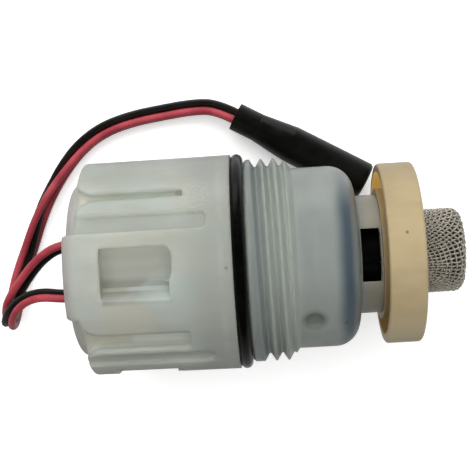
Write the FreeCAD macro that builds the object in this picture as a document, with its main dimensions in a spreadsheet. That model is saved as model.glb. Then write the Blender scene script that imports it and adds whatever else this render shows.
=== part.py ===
"""Latching solenoid valve cartridge with a pilot-operated diaphragm, its leads and its in-line connector.

Millimetres. +X runs along the valve axis from the cap to the strainer, +Z is up, and the valve lies on its
side: the origin is under the middle of its length, on the surface that it rests on. Each piece on the axis is
drawn with x counted from the cap's end face, then placed by its own Placement.
"""
import FreeCAD
import Part
import Sketcher
import math
import os

V = FreeCAD.Vector
OVERRUN = 1.0  # how far a cut reaches past the surface that it opens
NO_TURN = FreeCAD.Rotation()
CLEAR = 0.02  # between two pieces that fit face to face
doc = FreeCAD.newDocument("SolenoidValveCartridge")

# ---------------------------------------------------------------- sizes
SIZES = {
    # whole valve, x from the cap's end face
    "total_length": 62.4,
    "axis_height": 17.5,
    # cap: moulded cover over the coil
    "cap_length": 25.65,
    "cap_wall_end": 2.2,
    "cap_nose_radius": 14.3,
    "cap_nose_length": 2.0,
    "cap_nose_round": 1.7,
    "nose_step_angle": 93.0,
    "nose_step_sweep": 136.0,
    "cap_band_radius": 17.3,
    "cap_band_round": 0.5,
    "cap_flange_radius": 17.45,
    "cap_coil_bore": 12.6,
    "cap_skirt_bore": 13.8,
    "cap_skirt_start": 20.0,
    "gap_floor_radius": 15.3,
    "gap_end": 18.5,
    "narrow_gap_width": 1.6,
    "narrow_gap_angle": -40.5,
    "wide_gap_width": 3.3,
    "wide_gap_angle": 40.5,
    "band_corner": 3.0,
    "flute_floor_radius": 16.6,
    "flute_end": 22.0,
    "flute_width": 3.0,
    "first_flute_angle": -24.0,
    "second_flute_angle": 55.0,
    "flute_corner": 0.9,
    "pocket_floor_radius": 14.1,
    "pocket_start": 5.7,
    "pocket_end": 16.6,
    "pocket_half_width": 3.9,
    "pocket_deep_side": 1.4,
    "pocket_corner": 1.5,
    "pocket_ramp_lip": 16.7,
    "pocket_ramp_stop": 0.5,
    "first_pocket_angle": 2.0,
    "second_pocket_angle": 83.0,
    "lead_hole_radius": 2.2,
    "first_lead_offset": 4.2,
    "second_lead_offset": -4.4,
    # threaded body
    "seal_groove_radius": 15.45,
    "seal_section": 2.0,
    "seal_inner_radius": 15.5,
    "thread_start": 27.75,
    "thread_end": 35.3,
    "thread_radius": 16.5,
    "thread_root_radius": 15.27,
    "thread_pitch": 2.0,
    "thread_lead_in": 1.4,
    "thread_run_in": 0.4,
    "thread_first_chamfer": 0.4,
    "barrel_radius": 14.7,
    "shoulder_position": 45.2,
    "shoulder_round": 4.0,
    "body_bore": 12.2,
    "body_start": 20.2,
    "body_skirt_radius": 13.7,
    "ledge_position": 43.6,
    "neck_radius": 9.6,
    "neck_bore": 8.0,
    "neck_end": 53.0,
    "neck_root_round": 0.27,
    "window_start": 45.5,
    "window_end": 48.5,
    "window_width": 8.3,
    "pilot_outlet_position": 38.9,
    "pilot_outlet_radius": 1.35,
    "pilot_outlet_depth": 0.8,
    "pilot_outlet_angle": 222.0,
    "pilot_duct_radius": 0.5,
    "gate_recess_position": 37.6,
    "gate_recess_radius": 1.4,
    "gate_recess_depth": 0.5,
    "gate_recess_angle": 40.5,
    # end ring
    "ring_start": 49.2,
    "ring_end": 54.9,
    "ring_radius": 14.65,
    "ring_rim_bore": 13.2,
    "ring_hub_start": 48.8,
    "ring_hub_bore": 9.65,
    "ring_hub_radius": 10.6,
    "ring_web_start": 53.2,
    "ring_web_bore": 7.0,
    "ring_edge_round": 0.5,
    # inlet tube and its seal
    "seat_position": 44.2,
    "seat_chamfer": 0.5,
    "seat_outer_chamfer": 0.3,
    "tube_radius": 6.0,
    "tube_bore": 4.8,
    "collar_start": 51.9,
    "collar_end": 53.1,
    "collar_radius": 7.9,
    "tube_seal_start": 49.8,
    "tube_seal_section": 2.0,
    # strainer
    "strainer_radius": 6.85,
    "strainer_wall": 0.45,
    "strainer_round": 1.7,
    "rim_end": 55.7,
    "rim_radius": 6.9,
    # coil and magnet circuit
    "yoke_start": 4.0,
    "yoke_end": 21.0,
    "yoke_wall": 1.2,
    "yoke_radius": 12.1,
    "yoke_hole_radius": 3.2,
    "terminal_hole_radius": 1.2,
    "bobbin_start": 5.3,
    "bobbin_end": 20.95,
    "bobbin_flange": 1.0,
    "bobbin_bore": 4.6,
    "bobbin_barrel": 5.4,
    "bobbin_radius": 10.7,
    "open_winding_radius": 7.7,
    "close_winding_radius": 10.1,
    "magnet_start": 5.25,
    "magnet_end": 7.25,
    "magnet_radius": 4.3,
    "guide_start": 7.3,
    "guide_wall": 0.3,
    "guide_radius": 4.5,
    "guide_flange_radius": 7.4,
    "guide_flange_start": 22.2,
    "guide_end": 22.6,
    "core_end": 11.7,
    "pole_plate_start": 21.0,
    "pole_plate_bore": 4.55,
    "terminal_radius": 0.4,
    "terminal_circle": 8.4,
    "terminal_start": 2.8,
    # plunger
    "plunger_start": 12.55,
    "plunger_end": 23.9,
    "plunger_radius": 4.12,
    "plunger_chamfer": 0.3,
    "plunger_spring_bore": 1.9,
    "plunger_spring_depth": 5.6,
    "plunger_spring_radius": 1.45,
    "plunger_spring_wire": 0.32,
    "plunger_spring_pitch": 1.05,
    "pilot_seal_radius": 2.0,
    "pilot_seal_start": 22.9,
    "pilot_seal_end": 24.4,
    # pilot plate
    "pilot_plate_radius": 12.15,
    "pilot_plate_end": 28.6,
    "pilot_recess_radius": 5.0,
    "pilot_recess_end": 25.6,
    "nozzle_radius": 1.2,
    "nozzle_tip": 24.42,
    "nozzle_tip_radius": 0.84,
    "cross_duct_position": 27.0,
    "plate_seal_start": 23.3,
    "plate_seal_section": 1.5,
    "plate_seal_root": 10.65,
    "skirt_bore": 10.7,
    "skirt_duct_circle": 11.42,
    "skirt_duct_radius": 0.45,
    "skirt_end": 41.8,
    "spring_boss_radius": 2.9,
    "spring_boss_end": 30.4,
    "feed_hole_radius": 0.8,
    "feed_hole_circle": 3.9,
    # diaphragm and its insert
    "diaphragm_web_start": 42.8,
    "bead_bore": 10.6,
    "diaphragm_boss_radius": 7.1,
    "diaphragm_hole": 2.0,
    "insert_start": 41.2,
    "insert_radius": 6.6,
    "insert_head_radius": 3.6,
    "insert_head_end": 45.4,
    "bleed_hole_radius": 0.45,
    "bleed_pin_radius": 0.2,
    "bleed_pin_depth": 1.5,
    "bleed_pin_end": 46.4,
    "diaphragm_spring_radius": 3.6,
    "diaphragm_spring_wire": 0.5,
    "diaphragm_spring_pitch": 2.4,
    # leads
    "wire_diameter": 1.3,
    "wire_pitch": 1.42,
    # connector
    "connector_end_x": -4.6,
    "connector_end_y": 25.3,
    "connector_height": 3.25,
    "connector_heading": -30.0,
    "boot_radius": 2.5,
    "boot_length": 4.3,
    "shell_start": 4.35,
    "shell_taper": 6.5,
    "shell_radius": 3.25,
    "shell_length": 21.4,
    "shell_bore": 2.35,
    "shell_end_round": 0.7,
    "insert_length": 10.0,
    "insert_setback": 0.4,
    "contact_radius": 0.45,
    "contact_circle": 1.2,
    "contact_length": 8.0,
    "contact_setback": 0.6,
}

sheet = doc.addObject("Spreadsheet::Sheet", "Sizes")
for row, (alias, number) in enumerate(SIZES.items(), start=1):
    sheet.set(f"A{row}", alias.replace("_", " "))
    sheet.set(f"B{row}", str(number))
    sheet.setAlias(f"B{row}", alias)
doc.recompute()


class Size:
    """A number together with the sheet expression that gives it."""

    def __init__(self, number, text):
        self.number = number
        self.text = text

    def joined(self, sign, other, number):
        text = other.text if isinstance(other, Size) else repr(other)
        return Size(number, f"({self.text} {sign} {text})")

    def __add__(self, other):
        return self.joined("+", other, self.number + plain(other))

    def __sub__(self, other):
        return self.joined("-", other, self.number - plain(other))

    def __mul__(self, other):
        return self.joined("*", other, self.number * plain(other))

    def __truediv__(self, other):
        return self.joined("/", other, self.number / plain(other))


def plain(value):
    return value.number if isinstance(value, Size) else float(value)


def size(alias):
    return Size(float(sheet.get(alias)), f"Sizes.{alias}")


def bind(item, prop, value):
    """Drive one property from the sheet, or set it where the value is a bare number."""
    if isinstance(value, Size):
        item.setExpression(prop, value.text)
    else:
        item.setExpression(prop, repr(float(value)))


# ---------------------------------------------------------------- building blocks
nodes = []


def named(item, label):
    item.Label = label
    nodes.append(item)
    return item


def on_axis(item):
    """Carry a piece drawn from the cap's end face to its place in the whole part."""
    item.setExpression("Placement.Base.x", "-Sizes.total_length / 2")
    item.setExpression("Placement.Base.z", "Sizes.axis_height")
    return item


def new_body(label):
    return named(doc.addObject("PartDesign::Body", label), label)


def plane(body, role):
    return [item for item in body.Origin.OriginFeatures if item.Role == role][0]


def new_sketch(body, name, role, offset=None):
    sketch = body.newObject("Sketcher::SketchObject", name)
    sketch.AttachmentSupport = [(plane(body, role), "")]
    sketch.MapMode = "FlatFace"
    if offset is not None:
        sketch.AttachmentOffset = offset
    return sketch


def pin_point(sketch, line, corner, which, value):
    """Tie one coordinate of a line's start to the sketch origin."""
    axis_line = {"DistanceX": -2, "DistanceY": -1}[which]
    if plain(value) == 0:
        sketch.addConstraint(Sketcher.Constraint("PointOnObject", line, corner, axis_line))
        return
    index = sketch.addConstraint(Sketcher.Constraint(which, -1, 1, line, corner, plain(value)))
    if isinstance(value, Size):
        name = f"{which.lower()}_{line}"
        sketch.renameConstraint(index, name)
        sketch.setExpression(f"Constraints.{name}", value.text)


def closed_outline(sketch, corners):
    """Straight closed outline through the corners, every corner dimensioned from the origin."""
    first = sketch.GeometryCount
    count = len(corners)
    for i in range(count):
        a, b = corners[i], corners[(i + 1) % count]
        sketch.addGeometry(Part.LineSegment(V(plain(a[0]), plain(a[1]), 0), V(plain(b[0]), plain(b[1]), 0)))
    for i in range(count):
        sketch.addConstraint(Sketcher.Constraint("Coincident", first + i, 2, first + (i + 1) % count, 1))
    for i, corner in enumerate(corners):
        pin_point(sketch, first + i, 1, "DistanceX", corner[0])
        pin_point(sketch, first + i, 1, "DistanceY", corner[1])


def circle_outline(sketch, centre, radius):
    middle = V(plain(centre[0]), plain(centre[1]), 0)
    index = sketch.addGeometry(Part.Circle(middle, V(0, 0, 1), plain(radius)))
    pin_point(sketch, index, 3, "DistanceX", centre[0])
    pin_point(sketch, index, 3, "DistanceY", centre[1])
    name = f"radius_{index}"
    sketch.renameConstraint(sketch.addConstraint(Sketcher.Constraint("Radius", index, plain(radius))), name)
    bind(sketch, f"Constraints.{name}", radius)


def turn(body, corners, name="Turned"):
    """Revolve an outline of (x, radius) corners about the valve axis."""
    sketch = new_sketch(body, f"{name}Outline", "XZ_Plane")
    closed_outline(sketch, corners)
    feature = body.newObject("PartDesign::Revolution", name)
    feature.Profile = sketch
    feature.ReferenceAxis = (sketch, ["H_Axis"])
    feature.Angle = 360
    doc.recompute()
    return feature


def turned(label, corners):
    body = on_axis(new_body(label))
    turn(body, corners)
    return body


def tube(label, start, end, bore, radius):
    return turned(label, [(start, bore), (end, bore), (end, radius), (start, radius)])


def cut_pocket(body, sketch, depth, outward=False, both_ways=False):
    feature = body.newObject("PartDesign::Pocket", f"{sketch.Name}Cut")
    feature.Profile = sketch
    feature.Type = "Length"
    feature.Midplane = both_ways
    feature.Reversed = outward
    bind(feature, "Length", depth)
    before = body.Tip.Shape.Volume if body.Tip is not feature else feature.BaseFeature.Shape.Volume
    doc.recompute()
    if feature.Shape.Volume > before - 1e-4:
        raise RuntimeError(f"{feature.Name} in {body.Label} cuts nothing")
    return feature


def ring_edges(shape, x, radius):
    """Names of the circular edges about the valve axis at one x and radius."""
    found = []
    for number, edge in enumerate(shape.Edges, start=1):
        curve = edge.Curve
        if isinstance(curve, Part.Circle) and math.dist((curve.Center.x, curve.Radius), (x, radius)) < 0.01:
            found.append(f"Edge{number}")
    return found


def soften(body, places, radius, kind="Fillet"):
    """Fillet or chamfer the ring edges at the (x, radius) places."""
    base = body.Tip
    names = []
    for x, r in places:
        names += ring_edges(base.Shape, plain(x), plain(r))
    feature = body.newObject(f"PartDesign::{kind}", f"{kind}Edges")
    feature.Base = (base, names)
    bind(feature, "Radius" if kind == "Fillet" else "Size", radius)
    doc.recompute()
    return feature


def turned_about_axis(angle, rise=0.0):
    """Sketch plane tangent to a cylinder about the valve axis, angle counted from the top towards -Y."""
    spin = FreeCAD.Rotation(V(1, 0, 0), angle)
    return FreeCAD.Placement(spin.multVec(V(0, 0, rise)), spin)


def primitive(kind, name, sizes):
    item = doc.addObject(f"Part::{kind}", name)
    for prop, value in sizes.items():
        bind(item, prop, value)
    return item


def along_x(item, start, y=None, z=None):
    """Lay a primitive's own axis along +X, starting at x = start."""
    item.Placement = FreeCAD.Placement(V(0, 0, 0), FreeCAD.Rotation(V(0, 1, 0), 90))
    bind(item, "Placement.Base.x", start)
    if y is not None:
        bind(item, "Placement.Base.y", y)
    if z is not None:
        bind(item, "Placement.Base.z", z)
    return item


# ---------------------------------------------------------------- cap
def gap_outline(sketch, width, end, corner):
    """Slot open at the cap's nose, its two mouth corners flared by arcs."""
    half = width / 2
    nose = size("cap_nose_length")
    mouth = half + corner
    left = nose - OVERRUN / 2
    arc_x = nose + corner
    points = [
        (left, mouth * -1), (nose, mouth * -1), (arc_x, half * -1), (end, half * -1),
        (end, half), (arc_x, half), (nose, mouth), (left, mouth),
    ]
    flares = {1: (nose + corner, mouth * -1, 90, 180), 5: (nose + corner, mouth, 180, 270)}
    count = len(points)
    for i in range(count):
        a, b = points[i], points[(i + 1) % count]
        if i in flares:
            cx, cy, begin, finish = flares[i]
            circle = Part.Circle(V(plain(cx), plain(cy), 0), V(0, 0, 1), plain(corner))
            sketch.addGeometry(Part.ArcOfCircle(circle, math.radians(begin), math.radians(finish)))
        else:
            start, stop = V(plain(a[0]), plain(a[1]), 0), V(plain(b[0]), plain(b[1]), 0)
            sketch.addGeometry(Part.LineSegment(start, stop))
    # an arc's own ends run anticlockwise, and the outline meets both arcs clockwise
    ends = {i: (2, 1) if i in flares else (1, 2) for i in range(count)}
    for i in range(count):
        after = (i + 1) % count
        sketch.addConstraint(Sketcher.Constraint("Coincident", i, ends[i][1], after, ends[after][0]))
    for i in (0, 2, 3, 4, 6, 7):
        pin_point(sketch, i, 1, "DistanceX", points[i][0])
        pin_point(sketch, i, 1, "DistanceY", points[i][1])
    for i in flares:
        pin_point(sketch, i, 3, "DistanceX", flares[i][0])
        pin_point(sketch, i, 3, "DistanceY", flares[i][1])


def slot_outline(sketch, start, end, low, high, corner):
    """Rectangle whose two corners at the far end are rounded."""
    points = [(start, low), (end - corner, low), (end, low + corner), (end, high - corner),
              (end - corner, high), (start, high)]
    centres = {1: (end - corner, low + corner, 270, 360), 3: (end - corner, high - corner, 0, 90)}
    count = len(points)
    for i in range(count):
        a, b = points[i], points[(i + 1) % count]
        if i in centres:
            cx, cy, begin, finish = centres[i]
            circle = Part.Circle(V(plain(cx), plain(cy), 0), V(0, 0, 1), plain(corner))
            sketch.addGeometry(Part.ArcOfCircle(circle, math.radians(begin), math.radians(finish)))
        else:
            start_point, stop_point = V(plain(a[0]), plain(a[1]), 0), V(plain(b[0]), plain(b[1]), 0)
            sketch.addGeometry(Part.LineSegment(start_point, stop_point))
    for i in range(count):
        sketch.addConstraint(Sketcher.Constraint("Coincident", i, 2, (i + 1) % count, 1))
    for i in (0, 2, 4, 5):
        pin_point(sketch, i, 1, "DistanceX", points[i][0])
        pin_point(sketch, i, 1, "DistanceY", points[i][1])
    for i in centres:
        pin_point(sketch, i, 3, "DistanceX", centres[i][0])
        pin_point(sketch, i, 3, "DistanceY", centres[i][1])


def radial_cut(body, name, angle, floor, outline, *outline_sizes):
    """Flat-floored cut from a floor radius out past the cap's surface."""
    offset = turned_about_axis(plain(angle), plain(floor))
    sketch = new_sketch(body, name, "XY_Plane", offset)
    bind(sketch, "AttachmentOffset.Rotation.Angle", angle)
    outline(sketch, *outline_sizes)
    return cut_pocket(body, sketch, size("cap_flange_radius") - floor + OVERRUN, outward=True)


def pocket_ramp(body, name, angle):
    """Sloping side wall of one pocket, cut along the axis."""
    side, edge = size("pocket_deep_side") * -1, size("pocket_half_width") * -1
    spin = FreeCAD.Rotation(V(0, 0, 1), plain(angle))
    sketch = new_sketch(body, name, "YZ_Plane", FreeCAD.Placement(V(0, 0, plain(size("pocket_start"))), spin))
    bind(sketch, "AttachmentOffset.Rotation.Angle", angle)
    top, inside = size("cap_flange_radius") + OVERRUN, side + 0.01
    closed_outline(sketch, [(inside, size("pocket_floor_radius")), (inside, top), (edge, top),
                            (edge, size("pocket_ramp_lip"))])
    length = size("pocket_end") - size("pocket_start")
    return cut_pocket(body, sketch, length - size("pocket_ramp_stop"), outward=True)


def nose_step(body):
    """Step down to the nose at both sides, between the two bands that run on over the cap's end."""
    angle = size("nose_step_angle")
    offset = FreeCAD.Placement(V(0, 0, 0), FreeCAD.Rotation(V(1, 0, 0), plain(angle)))
    sketch = new_sketch(body, "NoseStep", "XZ_Plane", offset)
    bind(sketch, "AttachmentOffset.Rotation.Angle", angle)
    inner, outer = size("cap_nose_radius"), size("cap_flange_radius") + OVERRUN
    outside, nose = OVERRUN * -1, size("cap_nose_length")
    closed_outline(sketch, [(outside, inner), (nose, inner), (nose, outer), (outside, outer)])
    step = body.newObject("PartDesign::Groove", "NoseStepCut")
    step.Profile = sketch
    step.ReferenceAxis = (sketch, ["H_Axis"])
    step.Midplane = True
    bind(step, "Angle", size("nose_step_sweep"))
    doc.recompute()
    return step


def opposite(body, name, cuts, sketch):
    """Repeat cuts on the other side of the valve axis."""
    pattern = body.newObject("PartDesign::PolarPattern", name)
    pattern.Originals = cuts
    pattern.Axis = (sketch, ["H_Axis"])
    pattern.Angle = 360
    pattern.Occurrences = 2
    body.Tip = pattern
    doc.recompute()


def make_cap():
    cap = on_axis(new_body("cap"))
    length, nose = size("cap_length"), size("cap_nose_length")
    skirt, band, flange = size("cap_skirt_start"), size("cap_band_radius"), size("cap_flange_radius")
    profile = turn(cap, [
        (0, 0), (0, band), (length, flange), (length, size("cap_skirt_bore")), (skirt, size("cap_skirt_bore")),
        (skirt, size("cap_coil_bore")), (size("cap_wall_end"), size("cap_coil_bore")), (size("cap_wall_end"), 0),
    ])
    axis_sketch = profile.Profile[0]
    soften(cap, [(0, band)], size("cap_nose_round"))
    opposite(cap, "BothNoseSteps", [nose_step(cap)], axis_sketch)
    soften(cap, [(0, size("cap_nose_radius"))], size("cap_nose_round"))
    soften(cap, [(nose, band + (flange - band) * nose / length)], size("cap_band_round"))
    cuts = []
    for name, angle, width in (("NarrowGap", "narrow_gap_angle", "narrow_gap_width"),
                               ("WideGap", "wide_gap_angle", "wide_gap_width")):
        cuts.append(radial_cut(cap, name, size(angle), size("gap_floor_radius"), gap_outline,
                               size(width), size("gap_end"), size("band_corner")))
    half_flute = size("flute_width") / 2
    half_pocket = size("pocket_half_width")
    for number, angle in enumerate(("first_flute_angle", "second_flute_angle"), start=1):
        cuts.append(radial_cut(cap, f"Flute{number}", size(angle), size("flute_floor_radius"), slot_outline,
                               nose - OVERRUN / 2, size("flute_end"), half_flute * -1, half_flute,
                               size("flute_corner")))
    for number, angle in enumerate(("first_pocket_angle", "second_pocket_angle"), start=1):
        cuts.append(radial_cut(cap, f"Pocket{number}", size(angle), size("pocket_floor_radius"), slot_outline,
                               size("pocket_start"), size("pocket_end"), size("pocket_deep_side") * -1,
                               half_pocket, size("pocket_corner")))
        cuts.append(pocket_ramp(cap, f"Ramp{number}", size(angle)))
    opposite(cap, "OppositeSide", cuts, axis_sketch)
    holes = new_sketch(cap, "LeadHoles", "YZ_Plane")
    for offset in ("first_lead_offset", "second_lead_offset"):
        circle_outline(holes, (size(offset), 0), size("lead_hole_radius"))
    cut_pocket(cap, holes, size("cap_wall_end"), outward=True)


def make_lead_grommets():
    for lead in ("first_lead", "second_lead"):
        sizes = {"Radius": size("lead_hole_radius"), "Height": size("cap_wall_end")}
        plug = primitive("Cylinder", f"{lead}_grommet", sizes)
        along_x(plug, size("total_length") * -0.5, size(f"{lead}_offset"), size("axis_height"))
        named(plug, f"{lead}_grommet")


# ---------------------------------------------------------------- threaded body
def make_thread(body):
    """Cut the external thread as one helical groove, started under the body."""
    root, crest, pitch = size("thread_root_radius"), size("thread_radius"), size("thread_pitch")
    begin = size("thread_start") + size("thread_run_in")
    half_root, half_mouth = pitch / 16, pitch * 0.45  # a 60 degree profile, its root and crest flat
    sketch = new_sketch(body, "ThreadGroove", "XZ_Plane")
    outside = crest + 0.06
    closed_outline(sketch, [
        (begin - half_root + half_mouth, root * -1), (begin + half_root + half_mouth, root * -1),
        (begin + half_mouth * 2, outside * -1), (begin, outside * -1),
    ])
    groove = body.newObject("PartDesign::SubtractiveHelix", "ThreadCut")
    groove.Profile = sketch
    groove.ReferenceAxis = (sketch, ["H_Axis"])
    groove.Mode = "pitch-height-angle"
    bind(groove, "Pitch", pitch)
    bind(groove, "Height", size("thread_end") - size("thread_start") + size("thread_run_in"))
    doc.recompute()


def make_valve_body():
    body = on_axis(new_body("valve_body"))
    start, end = size("thread_start"), size("thread_end")
    cap_face = size("cap_length")
    shoulder, barrel = size("shoulder_position"), size("barrel_radius")
    skirt, groove, crest = size("body_skirt_radius"), size("seal_groove_radius"), size("thread_radius")
    chamfer = size("thread_first_chamfer")
    turn(body, [
        (size("body_start"), size("body_bore")), (size("body_start"), skirt), (cap_face, skirt),
        (cap_face, groove), (start, groove), (start, crest - chamfer), (start + chamfer, crest),
        (end - size("thread_lead_in"), crest), (end, barrel + 0.1), (end, barrel), (shoulder, barrel),
        (shoulder, size("neck_radius")), (size("neck_end"), size("neck_radius")),
        (size("neck_end"), size("neck_bore")), (size("ledge_position"), size("neck_bore")),
        (size("ledge_position"), size("body_bore")),
    ])
    soften(body, [(shoulder, barrel)], size("shoulder_round"))
    soften(body, [(shoulder, size("neck_radius"))], size("neck_root_round"))
    make_thread(body)
    slot = new_sketch(body, "Window", "XY_Plane")
    half = size("window_width") / 2
    closed_outline(slot, [(size("window_start"), half * -1), (size("window_end"), half * -1),
                          (size("window_end"), half), (size("window_start"), half)])
    window = cut_pocket(body, slot, (size("neck_radius") + OVERRUN) * 2, both_ways=True)
    pattern = body.newObject("PartDesign::PolarPattern", "FourWindows")
    pattern.Originals = [window]
    pattern.Axis = (slot, ["H_Axis"])
    pattern.Angle = 180
    pattern.Occurrences = 2
    body.Tip = pattern
    doc.recompute()
    recess = new_sketch(body, "GateRecess", "XY_Plane",
                        turned_about_axis(plain(size("gate_recess_angle")), plain(barrel)))
    circle_outline(recess, (size("gate_recess_position"), 0), size("gate_recess_radius"))
    cut_pocket(body, recess, size("gate_recess_depth"))
    angle = plain(size("pilot_outlet_angle"))
    position = (size("pilot_outlet_position"), 0)
    mouth = new_sketch(body, "PilotOutlet", "XY_Plane", turned_about_axis(angle, plain(barrel)))
    circle_outline(mouth, position, size("pilot_outlet_radius"))
    cut_pocket(body, mouth, size("pilot_outlet_depth"))
    duct = new_sketch(body, "PilotDuct", "XY_Plane", turned_about_axis(angle, plain(barrel)))
    circle_outline(duct, position, size("pilot_duct_radius"))
    cut_pocket(body, duct, barrel - size("body_bore") + OVERRUN / 2)


def make_seal_ring(label, centre_x, section, inner_radius):
    """O-ring about the valve axis, resting on its groove's root."""
    seal = primitive("Torus", label, {"Radius1": inner_radius + section / 2, "Radius2": section / 2})
    along_x(seal, centre_x - size("total_length") / 2, z=size("axis_height"))
    return named(seal, label)


def make_end_ring():
    start, end, web = size("ring_start"), size("ring_end"), size("ring_web_start")
    ring = turned("end_ring", [
        (web, size("ring_web_bore")), (end, size("ring_web_bore")), (end, size("ring_radius")),
        (start, size("ring_radius")), (start, size("ring_rim_bore")), (web, size("ring_rim_bore")),
        (web, size("ring_hub_radius")), (size("ring_hub_start"), size("ring_hub_radius")),
        (size("ring_hub_start"), size("ring_hub_bore")), (web, size("ring_hub_bore")),
    ])
    soften(ring, [(end, size("ring_radius")), (start, size("ring_radius"))], size("ring_edge_round"))


def make_inlet_tube():
    bore, radius, seat = size("tube_bore"), size("tube_radius"), size("seat_position")
    chamfer, round_off = size("seat_chamfer"), size("seat_outer_chamfer")
    turned("inlet_tube", [
        (seat, bore + chamfer), (seat + chamfer, bore), (size("collar_end"), bore),
        (size("collar_end"), size("collar_radius")), (size("collar_start"), size("collar_radius")),
        (size("collar_start"), radius), (seat + chamfer, radius), (seat, radius - round_off),
    ])


def make_strainer():
    end, radius, wall = size("total_length"), size("strainer_radius"), size("strainer_wall")
    rim = size("rim_end")
    mesh = turned("strainer_mesh", [
        (rim, radius - wall), (end - wall, radius - wall), (end - wall, 0), (end, 0), (end, radius), (rim, radius),
    ])
    soften(mesh, [(end, radius)], size("strainer_round"))
    soften(mesh, [(end - wall, radius - wall)], size("strainer_round") - wall)
    tube("strainer_rim", size("collar_end"), rim, radius - wall * 2, size("rim_radius"))


# ---------------------------------------------------------------- coil and magnet circuit
def terminal_spots():
    circle = size("terminal_circle")
    diagonal = circle * math.sqrt(0.5)
    return [(diagonal, diagonal), (diagonal * -1, diagonal), (diagonal * -1, diagonal * -1),
            (diagonal, diagonal * -1)]


def make_yoke():
    start, wall = size("yoke_start"), size("yoke_wall")
    radius, inner = size("yoke_radius"), size("yoke_radius") - size("yoke_wall")
    yoke = turned("magnet_yoke", [
        (start, size("yoke_hole_radius")), (start, radius), (size("yoke_end"), radius), (size("yoke_end"), inner),
        (start + wall, inner), (start + wall, size("yoke_hole_radius")),
    ])
    holes = new_sketch(yoke, "TerminalHoles", "YZ_Plane")
    for spot in terminal_spots():
        circle_outline(holes, spot, size("terminal_hole_radius"))
    cut_pocket(yoke, holes, start + wall + CLEAR, outward=True)


def make_bobbin():
    start, end, flange = size("bobbin_start"), size("bobbin_end"), size("bobbin_flange")
    barrel, bore, radius = size("bobbin_barrel"), size("bobbin_bore"), size("bobbin_radius")
    turned("coil_bobbin", [
        (start, bore), (end, bore), (end, radius), (end - flange, radius), (end - flange, barrel),
        (start + flange, barrel), (start + flange, radius), (start, radius),
    ])
    inside, outside = start + flange, end - flange
    tube("opening_winding", inside, outside, barrel, size("open_winding_radius"))
    tube("closing_winding", inside, outside, size("open_winding_radius"), size("close_winding_radius"))


def make_terminals():
    """Four brass pins standing out of the bobbin's flange, as one node of separate solids."""
    pins = []
    length = size("bobbin_start") - size("terminal_start")
    sizes = {"Radius": size("terminal_radius"), "Height": length}
    for number, (y, z) in enumerate(terminal_spots(), start=1):
        pin = primitive("Cylinder", f"TerminalPin{number}", sizes)
        pins.append(along_x(pin, size("terminal_start"), y, z))
    group = doc.addObject("Part::Compound", "coil_terminals")
    group.Links = pins
    named(on_axis(group), "coil_terminals")


def make_core_and_guide():
    tube_start, wall, radius = size("guide_start"), size("guide_wall"), size("guide_radius")
    tube("latching_magnet", size("magnet_start"), size("magnet_end"), 0, size("magnet_radius"))
    inside, end = radius - wall, size("guide_end")
    flange_start, flange = size("guide_flange_start"), size("guide_flange_radius")
    turned("guide_tube", [
        (tube_start, 0), (tube_start, radius), (flange_start, radius), (flange_start, flange),
        (end, flange), (end, inside), (tube_start + wall, inside), (tube_start + wall, 0),
    ])
    tube("fixed_core", tube_start + wall, size("core_end"), 0, inside - CLEAR)
    tube("pole_plate", size("pole_plate_start"), flange_start, size("pole_plate_bore"), size("yoke_radius"))


def make_plunger():
    start, end, radius = size("plunger_start"), size("plunger_end"), size("plunger_radius")
    bore, floor = size("plunger_spring_bore"), size("plunger_start") + size("plunger_spring_depth")
    seal = size("pilot_seal_radius")
    plunger = turned("plunger", [
        (floor, 0), (floor, bore), (start, bore), (start, radius), (end, radius), (end, seal),
        (size("pilot_seal_start"), seal), (size("pilot_seal_start"), 0),
    ])
    soften(plunger, [(start, radius), (end, radius)], size("plunger_chamfer"), "Chamfer")
    tube("pilot_seal", size("pilot_seal_start"), size("pilot_seal_end"), 0, seal - CLEAR)


def make_spring(label, start, end, radius, wire, pitch):
    """Open coil spring about the valve axis: a round section swept along a helix."""
    body = on_axis(new_body(label))
    sketch = new_sketch(body, "WireSection", "XZ_Plane")
    circle_outline(sketch, (start + wire / 2, radius), wire / 2)
    coil = body.newObject("PartDesign::AdditiveHelix", "Coil")
    coil.Profile = sketch
    coil.ReferenceAxis = (sketch, ["H_Axis"])
    coil.Mode = "pitch-height-angle"
    bind(coil, "Pitch", pitch)
    bind(coil, "Height", end - start - wire)
    doc.recompute()
    return body


# ---------------------------------------------------------------- pilot stage and diaphragm
def drilled(solid, drills, label):
    """Cut a list of drill primitives out of one turned solid."""
    tools = doc.addObject("Part::MultiFuse", f"{label}Drills")
    tools.Shapes = drills
    result = doc.addObject("Part::Cut", label)
    result.Base = solid
    result.Tool = tools
    named(on_axis(result), label)
    doc.recompute()
    return result


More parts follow.
